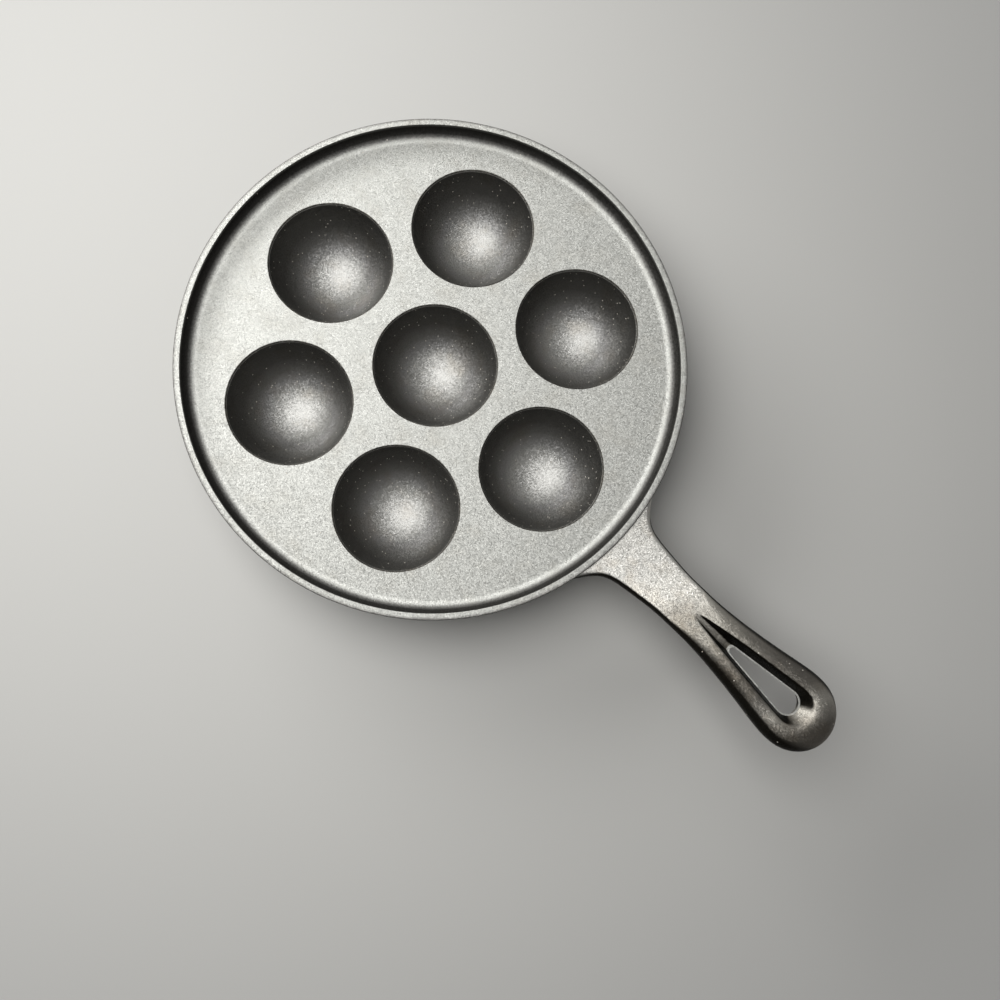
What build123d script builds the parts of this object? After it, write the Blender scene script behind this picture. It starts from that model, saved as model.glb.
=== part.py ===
from build123d import *
from math import cos, pi, radians, sin, sqrt
import os

# Aebleskiver pan, a seven-cup cast-iron pan for round pancakes.
#
# The real pan is one iron casting. It is modelled as the regions of that casting,
# which meet face to face: the flat cooking plate, the raised rim round it, seven
# bowl-shaped cups and the handle with its hanging slot.
#
# Frame: millimetres, +Z up. The origin is on the surface that the pan stands on,
# below the middle of the centre cup. +X runs along the handle.

# Cups: one in the middle and the rest in a ring, each an even spherical shell
cup_ring_count = 6
cup_mouth_radius = 28.0
cup_depth = 26.0
cup_wall = 3.8
cup_foot_radius = 5.0
cup_mouth_edge_radius = 0.7
cup_root_fillet = 1.0
cup_collar_width = 1.4
cup_collar_gap = 2.6

# Plate, and the rim that rises from it through a round cove to a flat lip
plate_thickness = 4.5
plate_margin = 6.0
rim_cove_radius = 5.6
rim_lip_height = 0.7
rim_lip_width = 3.0
rim_seam_inset = 1.2
rim_base_radius = 2.4
rim_outer_edge_radius = 0.8
rim_inner_edge_radius = 0.4

# Handle: a flat web flares out of the rim, then a domed grip with a round end. The
# web overlaps the rim until it is trimmed to the rim's wall.
handle_rise_angle = 5.7
handle_seat_height = 1.8
web_length = 41.0
web_root_half_width = 27.6
web_neck_half_width = 11.2
web_half_height = 3.0
web_flare_angle = -53.0
web_root_overlap = 3.0
grip_length = 62.8
grip_half_width = 17.5
grip_half_height = 6.5

# The web's rounded edges: their radius as a share of the half-height
web_edge_share = 0.8

# The flare's outline between the rim and the neck: shares of web_length along the
# handle, and of the half-width that the web loses on the way
flare_shares = [(0.066, 0.477), (0.141, 0.315), (0.402, 0.122), (0.615, 0.055)]

# The grip's sections: the share of grip_length along it, the shares of the growth
# from the neck's half-width and half-height to the round end's, and the rounded
# corner's width and height as shares of the section's own half-width and half-height
grip_section_shares = [
    (0.13, 0.003, 0.165, 0.42, 0.84),
    (0.26, 0.067, 0.424, 0.65, 0.87),
    (0.38, 0.183, 0.666, 0.78, 0.90),
    (0.58, 0.441, 0.907, 0.84, 0.90),
    (0.80, 0.806, 1.000, 0.84, 0.90),
    (1.00, 1.000, 1.000, 0.84, 0.90),
]

# Teardrop slot through the grip. Its waist lies in the middle plane of the handle,
# its mouth is the outline at the grip's full height and its foot is underneath.
# A setback is measured back from the middle of the grip's round end to the middle
# of the outline's wide end, and a length from there to the middle of its tip. A lip
# rounds the mouth over where the grip is near its full height.
waist_setback = 4.4
waist_length = 30.6
waist_end_radius = 5.6
waist_tip_radius = 2.0
mouth_setback = 1.9
mouth_length = 74.9
mouth_end_radius = 8.6
mouth_tip_radius = 0.5
mouth_lip_radius = 2.4
foot_flare = 1.2

# The lip's profile: depth below the grip's full height, and spread beyond the tapered
# wall, as shares of mouth_lip_radius
lip_shares = [(0.50, 0.00), (0.13, 0.16), (0.00, 0.58)]

# How far a cut runs past the face that it opens
cut_overrun = 1.0

# Heights and radii that follow from the sizes above
bowl_radius = (cup_mouth_radius**2 + cup_depth**2) / (2 * cup_depth)
shell_radius = bowl_radius + cup_wall
bowl_centre_height = sqrt(shell_radius**2 - cup_foot_radius**2)
cup_floor_height = bowl_centre_height - bowl_radius
plate_top = cup_floor_height + cup_depth
plate_underside = plate_top - plate_thickness
shell_root_radius = sqrt(shell_radius**2 - (bowl_centre_height - plate_underside) ** 2)
collar_radius = shell_root_radius + cup_collar_width
cup_spacing = 2 * collar_radius + cup_collar_gap
cup_ring_radius = cup_spacing * max(1, 1 / (2 * sin(pi / cup_ring_count)))
cove_start_radius = cup_ring_radius + collar_radius + plate_margin
seam_radius = cove_start_radius - rim_seam_inset
rim_inner_radius = cove_start_radius + rim_cove_radius
rim_outer_radius = rim_inner_radius + rim_lip_width
cove_top = plate_top + rim_cove_radius
rim_top = cove_top + rim_lip_height
round_end_station = web_length + grip_length

handle_plane = Plane(
    origin=(rim_outer_radius, 0, plate_top + handle_seat_height),
    x_dir=(cos(radians(handle_rise_angle)), 0, sin(radians(handle_rise_angle))),
    z_dir=(-sin(radians(handle_rise_angle)), 0, cos(radians(handle_rise_angle))),
)

os.makedirs("parts", exist_ok=True)


def blend(low, high, share):
    return low + share * (high - low)


def on_sphere(radius, distance):
    """Point of a cup's profile on the lower half of a sphere, off the cup's axis."""
    return (distance, bowl_centre_height - sqrt(radius**2 - distance**2))


# Cup: the shell stands on a small flat foot, and a collar as thick as the plate
# runs round its mouth
def make_cup(label, x, y):
    mouth = (cup_mouth_radius, plate_top)
    floor_middle = (0, cup_floor_height)
    foot_edge = (cup_foot_radius, 0)
    shell_root = (shell_root_radius, plate_underside)
    profile_plane = Plane(origin=(x, y, 0), x_dir=(1, 0, 0), z_dir=(0, -1, 0))
    with BuildPart() as cup:
        with BuildSketch(profile_plane):
            with BuildLine():
                ThreePointArc(
                    mouth,
                    on_sphere(bowl_radius, cup_mouth_radius / 2),
                    floor_middle,
                )
                Polyline(floor_middle, (0, 0), foot_edge)
                ThreePointArc(
                    foot_edge,
                    on_sphere(shell_radius, shell_root_radius / 2),
                    shell_root,
                )
                Polyline(
                    shell_root,
                    (collar_radius, plate_underside),
                    (collar_radius, plate_top),
                    mouth,
                )
            make_face()
            for corner, radius in (
                (mouth, cup_mouth_edge_radius),
                (shell_root, cup_root_fillet),
            ):
                fillet(vertices().sort_by_distance(Vector(*corner))[0], radius)
        revolve(axis=Axis((x, y, 0), (0, 0, 1)))
    cup.part.label = label
    export_step(cup.part, f"parts/{label}.step")


make_cup("cup_centre", 0, 0)
for number, place in enumerate(PolarLocations(cup_ring_radius, cup_ring_count)):
    make_cup(f"cup_{number + 1}", place.position.X, place.position.Y)

# Cooking plate: the flat web between the cups, with a round hole for each collar
with BuildPart() as cooking_plate:
    with BuildSketch(Plane.XY.offset(plate_underside)):
        Circle(seam_radius)
        Circle(collar_radius, mode=Mode.SUBTRACT)
        with PolarLocations(cup_ring_radius, cup_ring_count):
            Circle(collar_radius, mode=Mode.SUBTRACT)
    extrude(amount=plate_thickness)
cooking_plate.part.label = "cooking_plate"
export_step(cooking_plate.part, "parts/cooking_plate.step")

# Raised rim: its section is turned round the pan's axis
with BuildPart() as raised_rim:
    with BuildSketch(Plane.XZ):
        cove_start = (cove_start_radius, plate_top)
        cove_end = (rim_inner_radius, cove_top)
        inner_corner = (rim_inner_radius, rim_top)
        outer_corner = (rim_outer_radius, rim_top)
        base_corner = (rim_outer_radius, plate_underside)
        with BuildLine():
            RadiusArc(cove_end, cove_start, rim_cove_radius)
            Polyline(
                cove_start,
                (seam_radius, plate_top),
                (seam_radius, plate_underside),
                base_corner,
                outer_corner,
                inner_corner,
                cove_end,
            )
        make_face()
        for corner, radius in (
            (base_corner, rim_base_radius),
            (outer_corner, rim_outer_edge_radius),
            (inner_corner, rim_inner_edge_radius),
        ):
            fillet(vertices().sort_by_distance(Vector(*corner))[0], radius)
    revolve(axis=Axis.Z)
raised_rim.part.label = "raised_rim"
export_step(raised_rim.part, "parts/raised_rim.step")


def section_plane(station):
    """Plane across the handle: its X runs sideways and its Y up from the middle."""
    return Plane(
        origin=handle_plane.from_local_coords((station, 0, 0)),
        x_dir=handle_plane.y_dir,
        z_dir=handle_plane.x_dir,
    )


def half_section(half_width, half_height, corner_width, corner_height):
    """Half of a section, from its top middle round to its bottom middle."""
    shoulder = half_width - corner_width
    side = half_height - corner_height
    Line((0, half_height), (shoulder, half_height))
    EllipticalCenterArc((shoulder, side), corner_width, corner_height, 0, arc_size=90)
    Line((half_width, side), (half_width, -side))
    EllipticalCenterArc((shoulder, -side), corner_width, corner_height, 270, arc_size=90)
    Line((shoulder, -half_height), (0, -half_height))


def grip_sizes(shares):
    """Half-width, half-height and corner sizes of one grip section."""
    half_width = blend(web_neck_half_width, grip_half_width, shares[1])
    half_height = blend(web_half_height, grip_half_height, shares[2])
    return half_width, half_height, half_width * shares[3], half_height * shares[4]


def teardrop(height, outline, spread=0):
    """Slot outline at a height above the handle's middle plane, widened by spread."""
    setback, length, end_radius, tip_radius = outline
    with BuildSketch(handle_plane.offset(height)) as teardrop_sketch:
        with Locations((round_end_station - setback, 0)):
            Circle(end_radius + spread)
        with Locations((round_end_station - setback - length, 0)):
            Circle(tip_radius + spread)
        make_hull()
    return teardrop_sketch.sketch


# Handle: flat flared web, lofted grip with a round end, and the slot through it
with BuildPart() as handle:
    flare_along = cos(radians(web_flare_angle))
    flare_across = sin(radians(web_flare_angle))
    wall_station = sqrt(rim_outer_radius**2 - web_root_half_width**2) - rim_outer_radius
    flare_start = (
        wall_station - web_root_overlap * flare_along,
        web_root_half_width - web_root_overlap * flare_across,
    )
    flare_points = [
        (along * web_length, blend(web_neck_half_width, web_root_half_width, across))
        for along, across in flare_shares
    ]
    neck_corner = (web_length, web_neck_half_width)
    inner_station = flare_start[0] - web_root_overlap
    with BuildSketch(handle_plane.offset(-web_half_height)):
        with BuildLine():
            Spline(
                flare_start,
                *flare_points,
                neck_corner,
                tangents=[(flare_along, flare_across), (1, 0)],
            )
            Line(neck_corner, (web_length, 0))
            Polyline(flare_start, (inner_station, flare_start[1]), (inner_station, 0))
            mirror(about=Plane.XZ)
        make_face()
    extrude(amount=2 * web_half_height)
    web_edge_radius = web_edge_share * web_half_height
    fillet(handle.edges().filter_by(GeomType.BSPLINE), web_edge_radius)

    neck_sizes = (web_neck_half_width, web_half_height, web_edge_radius, web_edge_radius)
    with BuildSketch(section_plane(web_length)):
        with BuildLine():
            half_section(*neck_sizes)
            mirror(about=Plane.YZ)
        make_face()
    for shares in grip_section_shares:
        with BuildSketch(section_plane(web_length + shares[0] * grip_length)):
            with BuildLine():
                half_section(*grip_sizes(shares))
                mirror(about=Plane.YZ)
            make_face()
    loft()

    end_plane = section_plane(round_end_station)
    with BuildSketch(end_plane):
        with BuildLine():
            half_section(*grip_sizes(grip_section_shares[-1]))
            Line((0, -grip_half_height), (0, grip_half_height))
        make_face()
    revolve(axis=Axis(end_plane.origin, -end_plane.y_dir), revolution_arc=180)

    # The rim fills everything inside its outer wall
    with BuildSketch():
        Circle(rim_outer_radius)
    extrude(amount=2 * rim_top, mode=Mode.SUBTRACT)

    # Slot: from the flared foot through the waist to the tapered recess and its lip
    waist = (waist_setback, waist_length, waist_end_radius, waist_tip_radius)
    mouth = (mouth_setback, mouth_length, mouth_end_radius, mouth_tip_radius)
    foot_height = -grip_half_height - cut_overrun
    foot_spread = -foot_flare * foot_height / grip_half_height
    slot_outlines = [teardrop(foot_height, waist, foot_spread), teardrop(0, waist)]
    for depth_share, spread_share in lip_shares:
        height = grip_half_height - depth_share * mouth_lip_radius
        taper = height / grip_half_height
        outline = [blend(low, high, taper) for low, high in zip(waist, mouth)]
        spread = spread_share * mouth_lip_radius
        slot_outlines.append(teardrop(height, outline, spread))
    slot_outlines.append(teardrop(height + cut_overrun, outline, spread))
    loft(slot_outlines, ruled=True, mode=Mode.SUBTRACT)
handle.part.label = "handle"
export_step(handle.part, "parts/handle.step")
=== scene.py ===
from math import asin, cos, hypot, pi, radians, sin, sqrt

import bmesh
import bpy
from mathutils import Matrix, Vector


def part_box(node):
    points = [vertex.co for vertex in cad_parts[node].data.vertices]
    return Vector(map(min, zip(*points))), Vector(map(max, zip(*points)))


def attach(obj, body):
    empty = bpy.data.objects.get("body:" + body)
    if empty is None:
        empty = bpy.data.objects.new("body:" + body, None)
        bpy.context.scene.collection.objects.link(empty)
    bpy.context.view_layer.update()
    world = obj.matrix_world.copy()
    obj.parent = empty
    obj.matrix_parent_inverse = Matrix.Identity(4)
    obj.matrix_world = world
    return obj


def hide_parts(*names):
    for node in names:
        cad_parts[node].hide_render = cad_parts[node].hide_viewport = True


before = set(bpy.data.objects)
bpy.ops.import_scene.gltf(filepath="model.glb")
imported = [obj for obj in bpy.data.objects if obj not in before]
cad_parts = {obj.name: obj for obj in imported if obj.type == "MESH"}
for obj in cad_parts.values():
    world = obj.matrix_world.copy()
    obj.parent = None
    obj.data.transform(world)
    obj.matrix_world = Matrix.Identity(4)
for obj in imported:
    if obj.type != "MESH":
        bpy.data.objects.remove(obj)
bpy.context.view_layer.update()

# Seven-cup cast-iron pan, on a pale floor under two softboxes. Lengths are in
# millimetres, named as in the part's source, and MM turns them to Blender's metres.
MM = 0.001

# Cups. The foot's edge is sharp in the part, and a little rounded here.
cup_ring_count = 6
cup_mouth_radius = 28.0
cup_depth = 26.0
cup_wall = 3.8
cup_foot_radius = 5.0
cup_mouth_edge_radius = 0.7
cup_root_fillet = 1.0
cup_foot_edge_radius = 0.6
cup_collar_width = 1.4
cup_collar_gap = 2.6

# Plate and rim. The lip is flat in the part. Here it is a little crowned, and its two
# edges are half as round.
plate_thickness = 4.5
plate_margin = 6.0
rim_cove_radius = 5.6
rim_lip_height = 0.7
rim_lip_width = 3.0
rim_seam_inset = 1.2
rim_base_radius = 2.4
rim_outer_edge_radius = 0.4
rim_inner_edge_radius = 0.2
rim_crown_height = 0.05

# Heights and radii that follow from them
bowl_radius = (cup_mouth_radius**2 + cup_depth**2) / (2 * cup_depth)
shell_radius = bowl_radius + cup_wall
bowl_centre_height = sqrt(shell_radius**2 - cup_foot_radius**2)
cup_floor_height = bowl_centre_height - bowl_radius
plate_top = cup_floor_height + cup_depth
plate_underside = plate_top - plate_thickness
shell_root_radius = sqrt(shell_radius**2 - (bowl_centre_height - plate_underside) ** 2)
collar_radius = shell_root_radius + cup_collar_width
cup_ring_radius = 2 * collar_radius + cup_collar_gap
cove_start_radius = cup_ring_radius + collar_radius + plate_margin
seam_radius = cove_start_radius - rim_seam_inset
rim_inner_radius = cove_start_radius + rim_cove_radius
rim_outer_radius = rim_inner_radius + rim_lip_width
cove_top = plate_top + rim_cove_radius
rim_top = cove_top + rim_lip_height

# How finely round things are divided: a cup's turn, its bowl and its shell from the
# middle outwards, the rim's turn, its cove and its lip's crown, and every rounded edge
cup_steps = 144
bowl_steps = 44
shell_steps = 26
rim_steps = 432
cove_steps = 14
crown_steps = 8
edge_steps = 6

# Corners sharper than this show as an edge, and the others shade smoothly
crease_angle = radians(40)

# Points nearer than this are merged, a height or radius this near to a corner's is
# the corner's, and a face this far beyond a surface belongs to the next one
same_point = 0.001
same_corner = 0.01
beyond_surface = 0.1


# Finishes


def linear(hex_colour):
    """sRGB hex to the linear colour that a shader takes."""
    values = [int(hex_colour[i : i + 2], 16) / 255 for i in (1, 3, 5)]
    return (
        *(v / 12.92 if v <= 0.04045 else ((v + 0.055) / 1.055) ** 2.4 for v in values),
        1,
    )


def add_node(tree, kind, settings={}, inputs={}):
    """Adds a node. An input is given a value, or another node's output to link from."""
    node = tree.nodes.new(kind)
    for name, value in settings.items():
        setattr(node, name, value)
    for name, value in inputs.items():
        if isinstance(value, bpy.types.NodeSocket):
            tree.links.new(value, node.inputs[name])
        else:
            node.inputs[name].default_value = value
    return node


def new_finish(name):
    """An empty material, and the socket that its surface goes into."""
    material = bpy.data.materials.new(name)
    material.use_nodes = True
    tree = material.node_tree
    tree.nodes.clear()
    output = add_node(tree, "ShaderNodeOutputMaterial")
    return material, tree, output.inputs["Surface"]


def tone_along(tree, place, along, tones):
    """Colour that changes with distance, from its (mm, hex) stops.

    The distance is along a direction, or out from the Z axis where there is none.
    """
    if along:
        distance = add_node(
            tree,
            "ShaderNodeVectorMath",
            {"operation": "DOT_PRODUCT"},
            {0: place, 1: Vector(along) / MM},
        ).outputs["Value"]
    else:
        flat = add_node(
            tree,
            "ShaderNodeVectorMath",
            {"operation": "MULTIPLY"},
            {0: place, 1: Vector((1, 1, 0)) / MM},
        ).outputs["Vector"]
        distance = add_node(
            tree, "ShaderNodeVectorMath", {"operation": "LENGTH"}, {0: flat}
        ).outputs["Value"]
    first, last = tones[0][0], tones[-1][0]
    share = add_node(
        tree,
        "ShaderNodeMapRange",
        inputs={"Value": distance, "From Min": first, "From Max": last},
    ).outputs["Result"]
    blend = add_node(tree, "ShaderNodeValToRGB", inputs={"Fac": share})
    stops = blend.color_ramp.elements
    stops.remove(stops[1])
    stops[0].color = linear(tones[0][1])
    for at, hex_colour in tones[1:]:
        stops.new((at - first) / (last - first)).color = linear(hex_colour)
    return blend.outputs["Color"]


def tilt_grains(tree, normal, grains, tilt):
    """Turns the surface's normal a little by chance, the same all over one grain."""
    chance = add_node(
        tree,
        "ShaderNodeVectorMath",
        {"operation": "SUBTRACT"},
        {0: grains.outputs["Color"], 1: (0.5, 0.5, 0.5)},
    ).outputs["Vector"]
    turn = add_node(
        tree, "ShaderNodeVectorMath", {"operation": "SCALE"}, {0: chance, "Scale": tilt}
    ).outputs["Vector"]
    turned = add_node(
        tree, "ShaderNodeVectorMath", {"operation": "ADD"}, {0: normal, 1: turn}
    ).outputs["Vector"]
    return add_node(
        tree, "ShaderNodeVectorMath", {"operation": "NORMALIZE"}, {0: turned}
    ).outputs["Vector"]


# Where painted shade on the handle's flanks starts and where it is full, as the Y of
# their
# normal: the flank towards -Y is shaded sooner
flank_shade_turns = [(-0.18, -0.5), (0.45, 0.75)]


def paint_flank_shade(tree, tone, flank_shade):
    """Paints shade onto a tone on both flanks, by which way they face."""
    across = add_node(
        tree,
        "ShaderNodeSeparateXYZ",
        inputs={"Vector": add_node(tree, "ShaderNodeNewGeometry").outputs["Normal"]},
    ).outputs["Y"]
    shares = [
        add_node(
            tree,
            "ShaderNodeMapRange",
            {"interpolation_type": "SMOOTHSTEP"},
            {"Value": across, "From Min": start, "From Max": full},
        ).outputs["Result"]
        for start, full in flank_shade_turns
    ]
    share = add_node(
        tree, "ShaderNodeMath", {"operation": "MAXIMUM"}, {0: shares[0], 1: shares[1]}
    ).outputs[0]
    return add_node(
        tree,
        "ShaderNodeMix",
        {"data_type": "RGBA"},
        {"Factor": share, 6: tone, 7: linear(flank_shade)},
    ).outputs[2]


# The iron's patterns, in their real sizes: patches of the oil film, specks of dust and
# flour (spacing, and radius as a share of it), the finest grit, and the slow waves that
# the mould leaves (length and height). The film's thickness goes from 0 to 1. It turns
# brown over the first range and changes the sheen, this much each way, over the second.
film_size = 14
film_brown = "#DCC7A8"
film_brown_range = (0.5, 0.8)
film_sheen_range = (0.3, 0.7)
film_sheen_swing = 0.03
speck_spacing = 2
speck_radius = 0.13
speck_colour = "#CFC9BD"
grit_size = 0.2
grit_tilt = 0.45
wave_length = 5
wave_height = 0.2


def seasoned_iron(
    name, along, tones, roughness, grain, tilt, contrast, specks, brown, flank_shade=None
):
    """Sand-cast grey iron, baked black with oil: a dark metal with a satin sheen.

    The moulding sand leaves a grain that glints. Its grit is too fine to show, so the
    grain over it is drawn two to three times as coarse. The oil film is uneven, so the
    sheen varies and turns brown where the oil lies thicker. The grain has a size in mm,
    a tilt and a contrast. The shares of specks and of brown go from 0 to 1.
    """
    material, tree, surface = new_finish(name)
    place = add_node(tree, "ShaderNodeTexCoord").outputs["Object"]
    bare = tone_along(tree, place, along, tones)
    # Painted shade on the flanks, where a colour for it is given
    if flank_shade:
        bare = paint_flank_shade(tree, bare, flank_shade)

    film = add_node(
        tree,
        "ShaderNodeTexNoise",
        inputs={
            "Vector": place,
            "Scale": 1 / (film_size * MM),
            "Detail": 3,
            "Roughness": 0.6,
        },
    ).outputs["Fac"]
    film_share = add_node(
        tree,
        "ShaderNodeMapRange",
        inputs={
            "Value": film,
            "From Min": film_brown_range[0],
            "From Max": film_brown_range[1],
            "To Max": brown,
        },
    ).outputs["Result"]
    oiled = add_node(
        tree,
        "ShaderNodeMix",
        {"data_type": "RGBA", "blend_type": "MULTIPLY"},
        {6: bare, 7: linear(film_brown), "Factor": film_share},
    ).outputs[2]

    # Sand grains, lighter and darker by chance
    grains = add_node(
        tree,
        "ShaderNodeTexVoronoi",
        inputs={"Vector": place, "Scale": 1 / (grain * MM)},
    )
    lightness = add_node(
        tree,
        "ShaderNodeMapRange",
        inputs={
            "Value": grains.outputs["Color"],
            "To Min": 1 - contrast,
            "To Max": 1 + contrast,
        },
    ).outputs["Result"]
    iron = add_node(
        tree,
        "ShaderNodeVectorMath",
        {"operation": "SCALE"},
        {0: oiled, "Scale": lightness},
    ).outputs["Vector"]

    # Dust and flour caught in the grain, in round specks that aren't metal
    cells = add_node(
        tree,
        "ShaderNodeTexVoronoi",
        inputs={"Vector": place, "Scale": 1 / (speck_spacing * MM)},
    )
    near = add_node(
        tree,
        "ShaderNodeMath",
        {"operation": "LESS_THAN"},
        {0: cells.outputs["Distance"], 1: speck_radius},
    ).outputs[0]
    chosen = add_node(
        tree,
        "ShaderNodeMath",
        {"operation": "LESS_THAN"},
        {0: cells.outputs["Color"], 1: specks},
    ).outputs[0]
    speck = add_node(
        tree, "ShaderNodeMath", {"operation": "MULTIPLY"}, {0: near, 1: chosen}
    ).outputs[0]
    colour = add_node(
        tree,
        "ShaderNodeMix",
        {"data_type": "RGBA"},
        {"Factor": speck, 6: iron, 7: linear(speck_colour)},
    ).outputs[2]
    metal = add_node(
        tree, "ShaderNodeMath", {"operation": "SUBTRACT"}, {0: 1.0, 1: speck}
    ).outputs[0]

    sheen = add_node(
        tree,
        "ShaderNodeMapRange",
        inputs={
            "Value": film,
            "From Min": film_sheen_range[0],
            "From Max": film_sheen_range[1],
            "To Min": roughness - film_sheen_swing,
            "To Max": roughness + film_sheen_swing,
        },
    ).outputs["Result"]

    # Each grain faces its own way, over finer grit, on the mould's slow waves
    smooth = add_node(tree, "ShaderNodeNewGeometry").outputs["Normal"]
    grit = add_node(
        tree,
        "ShaderNodeTexVoronoi",
        inputs={"Vector": place, "Scale": 1 / (grit_size * MM)},
    )
    gritty = tilt_grains(tree, smooth, grit, grit_tilt)
    grainy = tilt_grains(tree, gritty, grains, tilt)
    waves = add_node(
        tree,
        "ShaderNodeTexNoise",
        inputs={"Vector": place, "Scale": 1 / (wave_length * MM), "Detail": 3},
    ).outputs["Fac"]
    relief = add_node(
        tree,
        "ShaderNodeBump",
        inputs={
            "Height": waves,
            "Strength": 1.0,
            "Distance": wave_height * MM,
            "Normal": grainy,
        },
    ).outputs["Normal"]

    shader = add_node(
        tree,
        "ShaderNodeBsdfPrincipled",
        inputs={
            "Base Color": colour,
            "Metallic": metal,
            "Roughness": sheen,
            "Normal": relief,
        },
    )
    tree.links.new(shader.outputs[0], surface)
    return material


# Tones of the iron, as (mm along a direction, colour), or from the middle outwards for
# the rim. Use has worn the flat top, the lip and the handle's root to grey, and that
# grey is lighter still as a painted sheen. The oil stays black outside. The cups'
# walls, the cove and the grip are dark partly from the oil and partly as painted shade.
# The handle's tones change on a slant, so their mm are those of its centre line.
upwards = (0, 0, 1)
# The slant makes the handle's -Y side darker sooner, as painted shade
out_along_handle = (1, -0.5, 0)
# Worn grey, made lighter by a painted sheen on top of the wear
worn_and_sheen_grey = "#C1C1BC"
oil_black = "#4A4844"
# Cups: light at the floor and darker up the walls, partly the oil's black and partly
# painted shade in the hollow
bowl_oil_and_shade_tones = [
    (3.4, "#C0BFBB"),
    (5.8, "#B5B4B0"),
    (8.4, "#9E9D9B"),
    (12, "#7C7B78"),
    (17, "#605F5C"),
    (28.4, "#53524F"),
    (29.2, worn_and_sheen_grey),
]
# Rim: a painted highlight where the cove starts, painted shade down in the cove over
# the oil's black, and painted shade on the lip's outer edge
rim_wear_and_painted_light_tones = [
    (seam_radius, worn_and_sheen_grey),
    (cove_start_radius, worn_and_sheen_grey),
    (cove_start_radius + 1.2, "#D0D0CB"),
    (cove_start_radius + 2, "#C2C2BD"),
    (cove_start_radius + 3.2, "#767572"),
    (cove_start_radius + 4.2, "#3B3A38"),
    (rim_inner_radius - 0.05, "#2E2D2B"),
    (rim_inner_radius + 0.2, "#C2C2BD"),
    (rim_outer_radius - 1.4, "#C2C2BD"),
    (rim_outer_radius - 0.6, "#9B9A96"),
    (rim_outer_radius, "#504F4B"),
]
# Handle: a painted highlight on the root near 148 mm and on the band near 217 mm by the
# slot's far end, and darker along the grip partly from the oil and partly as painted
# shade
handle_wear_and_painted_light_tones = [
    (100, "#C0BEB8"),
    (132, "#CECCC6"),
    (148, "#E4E1D9"),
    (160, "#B4B0A7"),
    (174, "#9A968D"),
    (192, "#7B7770"),
    (207, "#7B7770"),
    (217, "#B4B0A7"),
    (228, "#6E6A63"),
    (255, "#6E6A63"),
]
# Flat top: worn grey with a painted sheen, black below it
top_tones = [
    (plate_underside, oil_black),
    (plate_top - 0.2, oil_black),
    (plate_top, worn_and_sheen_grey),
]
outside_tones = [(0, oil_black), (rim_top, oil_black)]

worn_finish = {
    "roughness": 0.66,
    "grain": 0.44,
    "tilt": 0.42,
    "contrast": 0.2,
    "specks": 0.12,
    "brown": 0.1,
}
iron_top = seasoned_iron("seasoned_cast_iron", upwards, top_tones, **worn_finish)
iron_rim = seasoned_iron("seasoned_cast_iron_rim", None, rim_wear_and_painted_light_tones, **worn_finish)
iron_bowl = seasoned_iron(
    "seasoned_cast_iron_bowl",
    upwards,
    bowl_oil_and_shade_tones,
    roughness=0.5,
    grain=0.6,
    tilt=0.17,
    contrast=0.07,
    specks=0.45,
    brown=0.3,
)
iron_outside = seasoned_iron(
    "seasoned_cast_iron_outside",
    upwards,
    outside_tones,
    roughness=0.5,
    grain=0.6,
    tilt=0.45,
    contrast=0.2,
    specks=0.1,
    brown=0.4,
)
iron_handle = seasoned_iron(
    "seasoned_cast_iron_handle",
    out_along_handle,
    handle_wear_and_painted_light_tones,
    roughness=0.48,
    grain=0.44,
    tilt=0.14,
    contrast=0.12,
    specks=0.2,
    brown=0.4,
    # The flanks' colour is painted shade
    flank_shade="#201E1A",
)


# Shapes


def vertices_of(made):
    """The vertices among what an operator made."""
    return [item for item in made if isinstance(item, bmesh.types.BMVert)]


def line_to(bm, vertex, point):
    """Draws the profile on from a vertex to a point, given as (radius, height)."""
    made = bmesh.ops.extrude_vert_indiv(bm, verts=[vertex])
    made["verts"][0].co = Vector((point[0], 0, point[1])) * MM
    return made["verts"][0]


def arc_round(bm, vertex, middle, angle, steps):
    """Draws the profile on by turning a vertex round a middle, positive from X to Z."""
    made = bmesh.ops.spin(
        bm,
        geom=[vertex],
        cent=Vector((middle[0], 0, middle[1])) * MM,
        axis=(0, -1, 0),
        angle=angle,
        steps=steps,
    )
    return vertices_of(made["geom_last"])[-1]


def turn_profile(bm, steps):
    """Spins the profile a full turn round the Z axis into a closed skin."""
    bmesh.ops.spin(
        bm,
        geom=bm.verts[:] + bm.edges[:],
        cent=(0, 0, 0),
        axis=(0, 0, 1),
        angle=2 * pi,
        steps=steps,
        use_merge=True,
    )
    bmesh.ops.remove_doubles(bm, verts=bm.verts[:], dist=same_point * MM)
    bmesh.ops.recalc_face_normals(bm, faces=bm.faces[:])


def on_ring(vertex, corner):
    """True for a vertex at a profile corner, given as (radius, height)."""
    return (
        abs(hypot(vertex.co.x, vertex.co.y) - corner[0] * MM) < same_corner * MM
        and abs(vertex.co.z - corner[1] * MM) < same_corner * MM
    )


def round_ring(bm, corner, radius):
    """Rounds the edge that a profile corner has become."""
    edges = [e for e in bm.edges if all(on_ring(v, corner) for v in e.verts)]
    bmesh.ops.bevel(
        bm,
        geom=edges,
        offset=radius * MM,
        segments=edge_steps,
        profile=0.5,
        affect="EDGES",
        material=-1,
    )


def thicken(bm, by):
    """Gives a flat sheet its second side, moved by a vector, and the walls between."""
    other_side = bmesh.ops.extrude_face_region(bm, geom=bm.faces[:], use_keep_orig=True)
    bmesh.ops.translate(bm, verts=vertices_of(other_side["geom"]), vec=by)
    bmesh.ops.recalc_face_normals(bm, faces=bm.faces[:])


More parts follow.
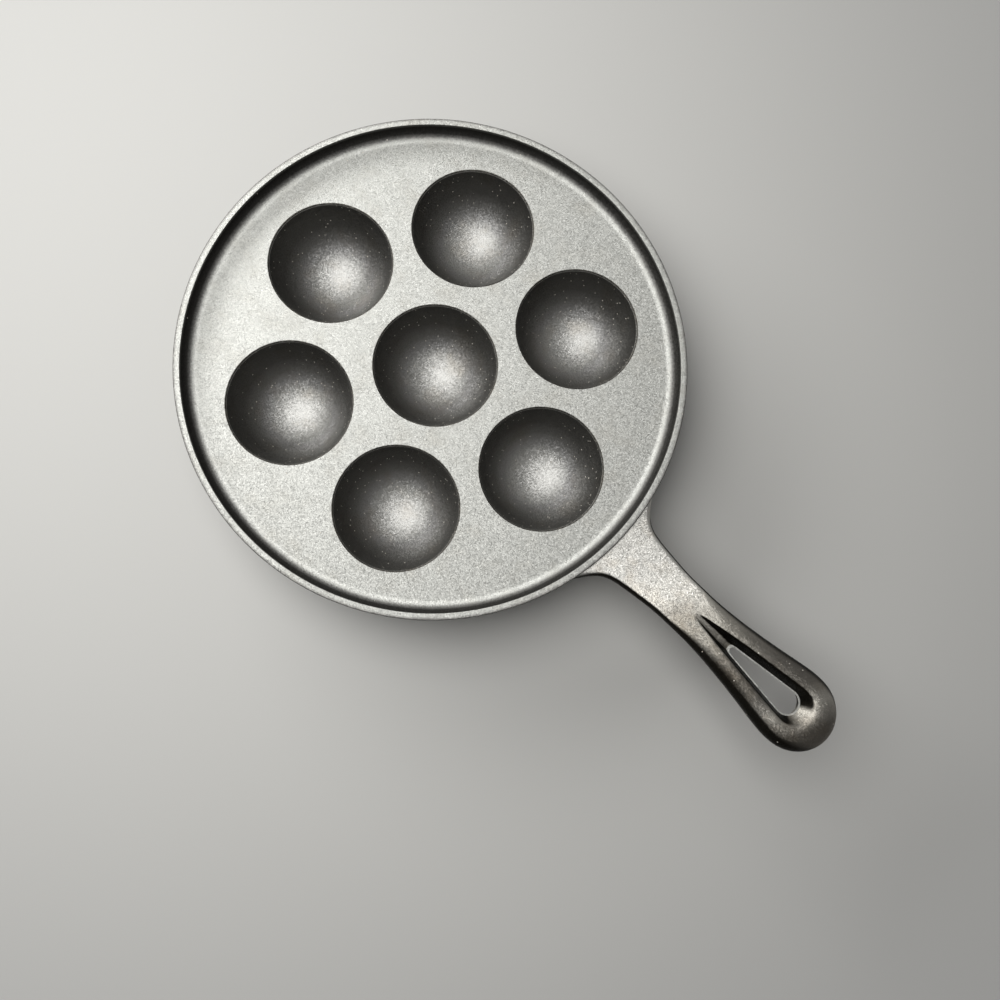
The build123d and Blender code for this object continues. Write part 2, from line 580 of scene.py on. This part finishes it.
def finish_piece(bm, name, node, materials):
    """Makes the piece from its mesh. It rides on the pan and may replace a CAD node."""
    mesh = bpy.data.meshes.new(name)
    bm.to_mesh(mesh)
    bm.free()
    for material in materials:
        mesh.materials.append(material)
    mesh.shade_smooth()
    mesh.set_sharp_from_angle(angle=crease_angle)
    piece = bpy.data.objects.new(name, mesh)
    bpy.context.scene.collection.objects.link(piece)
    level = piece.modifiers.new("flat_faces_shade_flat", "WEIGHTED_NORMAL")
    level.keep_sharp = True
    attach(piece, "root")
    if node:
        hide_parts(node)


def make_cup(name, node):
    """A cup: its bowl, round mouth and collar, the shell below and the flat foot."""
    mouth = (cup_mouth_radius, plate_top)
    shell_root = (shell_root_radius, plate_underside)
    foot_edge = (cup_foot_radius, 0)
    middle = (0, bowl_centre_height)
    mouth_angle = asin(cup_mouth_radius / bowl_radius)
    shell_angle = asin(shell_root_radius / shell_radius)
    foot_angle = asin(cup_foot_radius / shell_radius)

    bm = bmesh.new()
    floor_middle = bm.verts.new(Vector((0, 0, cup_floor_height)) * MM)
    at = arc_round(bm, floor_middle, middle, mouth_angle, bowl_steps)
    at = line_to(bm, at, (collar_radius, plate_top))
    at = line_to(bm, at, (collar_radius, plate_underside))
    at = line_to(bm, at, shell_root)
    at = arc_round(bm, at, middle, foot_angle - shell_angle, shell_steps)
    line_to(bm, at, (0, 0))
    turn_profile(bm, cup_steps)
    round_ring(bm, mouth, cup_mouth_edge_radius)
    round_ring(bm, shell_root, cup_root_fillet)
    round_ring(bm, foot_edge, cup_foot_edge_radius)

    # The collar's top is finished as the plate, and the shell as the outside
    bowl_middle = Vector((0, 0, bowl_centre_height)) * MM
    for face in bm.faces:
        centre = face.calc_center_median()
        if centre.z > (plate_top - same_corner) * MM:
            face.material_index = 1
        elif (centre - bowl_middle).length > (bowl_radius + beyond_surface) * MM:
            face.material_index = 2

    low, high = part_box(node)
    cup_place = ((low + high) / 2) * Vector((1, 1, 0))
    bmesh.ops.translate(bm, verts=bm.verts[:], vec=cup_place)
    finish_piece(bm, name, node, [iron_bowl, iron_top, iron_outside])


def make_plate():
    """The flat web: an outline and seven round holes, filled and thickened."""
    bm = bmesh.new()
    height = Matrix.Translation((0, 0, plate_top * MM))
    bmesh.ops.create_circle(
        bm, radius=seam_radius * MM, segments=rim_steps, matrix=height
    )
    centres = [(0, 0)] + [
        (cup_ring_radius * cos(a), cup_ring_radius * sin(a))
        for a in (radians(360 / cup_ring_count * n) for n in range(cup_ring_count))
    ]
    for x, y in centres:
        bmesh.ops.create_circle(
            bm,
            radius=collar_radius * MM,
            segments=cup_steps,
            matrix=Matrix.Translation(Vector((x, y, 0)) * MM) @ height,
        )
    bmesh.ops.triangle_fill(bm, edges=bm.edges[:], use_beauty=True, normal=(0, 0, 1))
    thicken(bm, (0, 0, -plate_thickness * MM))
    finish_piece(bm, "cast_plate", "cooking_plate", [iron_top])


def make_rim():
    """The raised rim: a round cove up to a crowned lip, and a straight outer wall."""
    half_width = rim_lip_width / 2
    rim_shoulder = rim_top - rim_crown_height
    crown_radius = (half_width**2 + rim_crown_height**2) / (2 * rim_crown_height)
    crown_middle = (rim_inner_radius + half_width, rim_top - crown_radius)
    crown_angle = asin(half_width / crown_radius)
    bm = bmesh.new()
    start = bm.verts.new(Vector((seam_radius, 0, plate_top)) * MM)
    at = line_to(bm, start, (cove_start_radius, plate_top))
    at = arc_round(bm, at, (cove_start_radius, cove_top), pi / 2, cove_steps)
    at = line_to(bm, at, (rim_inner_radius, rim_shoulder))
    at = arc_round(bm, at, crown_middle, -2 * crown_angle, crown_steps)
    at = line_to(bm, at, (rim_outer_radius, plate_underside))
    at = line_to(bm, at, (seam_radius, plate_underside))
    bm.edges.new((at, start))
    turn_profile(bm, rim_steps)
    round_ring(bm, (rim_inner_radius, rim_shoulder), rim_inner_edge_radius)
    round_ring(bm, (rim_outer_radius, rim_shoulder), rim_outer_edge_radius)
    round_ring(bm, (rim_outer_radius, plate_underside), rim_base_radius)

    # The underside and the outer wall are finished as the outside
    for face in bm.faces:
        centre = face.calc_center_median()
        out_to = hypot(centre.x, centre.y)
        beyond_cove = out_to > (rim_inner_radius + beyond_surface) * MM
        below_lip = centre.z < (rim_shoulder - rim_outer_edge_radius) * MM
        underside = centre.z < (plate_top - same_corner) * MM
        face.material_index = int(underside or below_lip and beyond_cove)
    finish_piece(bm, "cast_rim", "raised_rim", [iron_rim, iron_outside])


# Handle: its rise, where it sits, and the stations along it of its round end and of
# the slot's mouth
handle_rise_angle = 5.7
handle_seat_height = 1.8
round_end_station = 103.8
mouth_setback = 1.9
mouth_length = 74.9
mouth_end_radius = 8.6

# Its skin: how near to the rim its root is, how far that reaches into the rim, the
# pitch of the even mesh, and how often its edges are smoothed, and how strongly
root_nearness = 0.02
root_reach = 1.5
skin_pitch = 0.42
skin_smoothing = 8
smoothing_share = 0.5

# The slot's waist, and the thin fin round it that the two halves of the mould leave
waist_setback = 4.4
waist_length = 30.6
waist_end_radius = 5.6
waist_tip_radius = 2.0
fin_reach = 0.45
fin_root = 0.8
fin_thickness = 0.5
waist_end_steps = 48
waist_tip_steps = 16

# The rails turn down into the slot in a round shoulder, rounder towards the far end:
# its width beyond the slot's mouth, how far up it starts, the stations from which it
# gets rounder, and how often each of them is smoothed
shoulder_width = 5.4
shoulder_base = 0.5
shoulder_stations = (60, 66, 72, 78, 84)
shoulder_smoothing = 36

# From the handle's own lengths, along it, across and up, to the pan's place
handle_seat = Vector((rim_outer_radius, 0, plate_top + handle_seat_height)) * MM
handle_place = Matrix.Translation(handle_seat) @ Matrix.Rotation(
    -radians(handle_rise_angle), 4, "Y"
)


def make_handle():
    """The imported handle's skin, made one even mesh with the soft edges of a casting.

    Its root reaches into the rim, so that no gap shows where they meet.
    """
    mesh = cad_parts["handle"].data.copy()
    bm = bmesh.new()
    bm.from_mesh(mesh)
    bmesh.ops.remove_doubles(bm, verts=bm.verts[:], dist=same_point * MM)
    root_end = (rim_outer_radius + root_nearness) * MM
    root = [v for v in bm.verts if hypot(v.co.x, v.co.y) < root_end]
    bmesh.ops.translate(bm, verts=root, vec=(-root_reach * MM, 0, 0))
    bm.to_mesh(mesh)
    bm.free()
    rough = bpy.data.objects.new("rough_handle", mesh)
    bpy.context.scene.collection.objects.link(rough)
    even = rough.modifiers.new("even_skin", "REMESH")
    even.mode = "VOXEL"
    even.voxel_size = skin_pitch * MM
    soft = rough.modifiers.new("soft_edges", "SMOOTH")
    soft.factor = smoothing_share
    soft.iterations = skin_smoothing
    depsgraph = bpy.context.evaluated_depsgraph_get()
    skin = bpy.data.meshes.new_from_object(rough.evaluated_get(depsgraph))
    bpy.data.objects.remove(rough)

    bm = bmesh.new()
    bm.from_mesh(skin)
    bmesh.ops.recalc_face_normals(bm, faces=bm.faces[:])

    # Smooth the shoulder, up and down only
    mouth_end = round_end_station - mouth_setback
    shoulder = []
    for vertex in bm.verts:
        station, across, height = (handle_place.inverted() @ vertex.co) / MM
        opening = mouth_end_radius * min(1, 1 - (mouth_end - station) / mouth_length)
        off_middle = hypot(max(0, station - mouth_end), across)
        if height > shoulder_base and off_middle < opening + shoulder_width:
            shoulder.append((station, vertex))
    for start in shoulder_stations:
        beyond = [vertex for station, vertex in shoulder if station > start]
        for turn in range(shoulder_smoothing):
            bmesh.ops.smooth_vert(
                bm, verts=beyond, factor=smoothing_share, use_axis_z=True
            )
    finish_piece(bm, "cast_handle", "handle", [iron_handle])


def make_slot_fin():
    """A flat ring of the slot's outline, drawn upright and then laid in its waist."""
    wide_middle = (round_end_station - waist_setback, 0)
    tip_middle = (wide_middle[0] - waist_length, 0)
    lean = asin((waist_end_radius - waist_tip_radius) / waist_length)
    bm = bmesh.new()
    for spread in (fin_root, -fin_reach):
        wide, tip = waist_end_radius + spread, waist_tip_radius + spread
        corner = (wide_middle[0] - wide * sin(lean), 0, -wide * cos(lean))
        start = bm.verts.new(Vector(corner) * MM)
        at = arc_round(bm, start, wide_middle, pi + 2 * lean, waist_end_steps)
        at = line_to(bm, at, (tip_middle[0] - tip * sin(lean), tip * cos(lean)))
        at = arc_round(bm, at, tip_middle, pi - 2 * lean, waist_tip_steps)
        bm.edges.new((at, start))
    bmesh.ops.bridge_loops(bm, edges=bm.edges[:])
    bmesh.ops.translate(bm, verts=bm.verts[:], vec=(0, -fin_thickness * MM / 2, 0))
    thicken(bm, (0, fin_thickness * MM, 0))
    laid = handle_place @ Matrix.Rotation(pi / 2, 4, "X")
    bmesh.ops.transform(bm, matrix=laid, verts=bm.verts[:])
    # The fin takes the top's light worn grey with its painted sheen, so it shows as a
    # bright line, partly a painted highlight
    finish_piece(bm, "slot_parting_fin", None, [iron_top])


make_plate()
make_rim()
make_cup("cast_cup_centre", "cup_centre")
for number in range(1, cup_ring_count + 1):
    make_cup(f"cast_cup_{number}", f"cup_{number}")
make_handle()
make_slot_fin()


# Floor: a wide sheet of pale paper under the pan, in metres. Away from the pan it
# turns into the backdrop, from the first of these distances to the second.
floor_half_width = 12
paper_end, backdrop_start = 0.15, 1.0
paper_grey = "#BFBEBA"
floor_mesh = bpy.data.meshes.new("floor")
bm = bmesh.new()
bmesh.ops.create_grid(bm, x_segments=1, y_segments=1, size=floor_half_width)
bm.to_mesh(floor_mesh)
bm.free()
floor = bpy.data.objects.new("floor", floor_mesh)
bpy.context.scene.collection.objects.link(floor)

# The backdrop's brightness at the horizon and from a height up, which is the Z of the
# direction. The eye and reflections see it. The room's own light is far dimmer.
backdrop_low = 0.4
backdrop_high = 0.14
backdrop_height = 0.5
room_light = 0.05


def backdrop_seen(tree):
    """1 for rays from the camera, reflections and clear things, otherwise 0."""
    ray = add_node(tree, "ShaderNodeLightPath").outputs
    seen = ray["Is Camera Ray"]
    for kind in ("Is Glossy Ray", "Is Transmission Ray"):
        seen = add_node(
            tree, "ShaderNodeMath", {"operation": "MAXIMUM"}, {0: seen, 1: ray[kind]}
        ).outputs[0]
    return seen


# Pale matt paper: a plain grey that holds the pan's shadow and doesn't shine
paper, tree, surface = new_finish("pale_matt_paper")
near_paper = add_node(
    tree,
    "ShaderNodeBsdfPrincipled",
    inputs={"Base Color": linear(paper_grey), "Roughness": 0.9},
)
far_paper = add_node(
    tree,
    "ShaderNodeEmission",
    inputs={"Color": (backdrop_low,) * 3 + (1,), "Strength": backdrop_seen(tree)},
)
place = add_node(tree, "ShaderNodeTexCoord").outputs["Object"]
away = add_node(
    tree, "ShaderNodeVectorMath", {"operation": "LENGTH"}, {0: place}
).outputs["Value"]
far_share = add_node(
    tree,
    "ShaderNodeMapRange",
    {"interpolation_type": "SMOOTHSTEP"},
    {"Value": away, "From Min": paper_end, "From Max": backdrop_start},
).outputs["Result"]
whole = add_node(
    tree,
    "ShaderNodeMixShader",
    inputs={0: far_share, 1: near_paper.outputs[0], 2: far_paper.outputs[0]},
)
tree.links.new(whole.outputs[0], surface)
floor_mesh.materials.append(paper)

world = bpy.data.worlds.new("dim_studio")
world.use_nodes = True
tree = world.node_tree
tree.nodes.clear()
toward = add_node(tree, "ShaderNodeTexCoord").outputs["Generated"]
upward = add_node(
    tree, "ShaderNodeSeparateXYZ", inputs={"Vector": toward}
).outputs["Z"]
backdrop = add_node(
    tree,
    "ShaderNodeMapRange",
    {"interpolation_type": "SMOOTHSTEP"},
    {
        "Value": upward,
        "From Max": backdrop_height,
        "To Min": backdrop_low,
        "To Max": backdrop_high,
    },
).outputs["Result"]
brightness = add_node(
    tree,
    "ShaderNodeMapRange",
    inputs={"Value": backdrop_seen(tree), "To Min": room_light, "To Max": backdrop},
).outputs["Result"]
room = add_node(
    tree, "ShaderNodeBackground", inputs={"Color": (1,) * 4, "Strength": brightness}
)
add_node(tree, "ShaderNodeOutputWorld", inputs={"Surface": room.outputs[0]})
bpy.context.scene.world = world
bpy.context.scene.view_settings.view_transform = "Standard"

# Light: a round softbox close overhead, which makes the highlight in each cup, and a
# long one low on the left, which shows the far walls of the cups. Together they light
# the pan so that white shows as white.
pan_middle = Vector((0, 0, plate_top * MM))


def add_softbox(name, toward, distance, width, height, brightness):
    """A round or oval softbox that faces the pan, in metres.

    Its own brightness is 1 for white.
    """
    lean = Vector(toward).normalized()
    lamp = bpy.data.lights.new(name, "AREA")
    lamp.shape = "ELLIPSE"
    lamp.size, lamp.size_y = width, height
    lamp.energy = brightness * pi**2 * width * height / 4
    holder = bpy.data.objects.new(name, lamp)
    holder.location = pan_middle + lean * distance
    holder.rotation_euler = lean.to_track_quat("Z", "Y").to_euler()
    holder.visible_camera = False
    bpy.context.scene.collection.objects.link(holder)


add_softbox(
    "softbox_overhead",
    toward=(-0.3, -0.15, 1),
    distance=0.54,
    width=0.63,
    height=0.63,
    brightness=3.4,
)
add_softbox(
    "softbox_left",
    toward=(-1, 0, 0.4),
    distance=1.1,
    width=1.3,
    height=0.3,
    brightness=12.5,
)

# Camera: it looks almost straight down, with the handle to the lower right. Its place
# is in millimetres, and its three directions are those of the picture.
camera_place = Vector((73.5, -55.9, 343.2))
camera = bpy.data.cameras.new("camera")
camera.sensor_width = 36
camera.lens = 25.2
camera.clip_start = 0.01
camera.clip_end = 50
camera_right = Vector((0.7130, 0.6993, 0.0516))
camera_up = Vector((-0.7006, 0.7074, 0.0934))
camera_back = camera_right.cross(camera_up).normalized()
camera_holder = bpy.data.objects.new("camera", camera)
axes = Matrix((camera_right, camera_up, camera_back)).transposed().to_4x4()
camera_holder.matrix_world = Matrix.Translation(camera_place * MM) @ axes
bpy.context.scene.collection.objects.link(camera_holder)
bpy.context.scene.camera = camera_holder
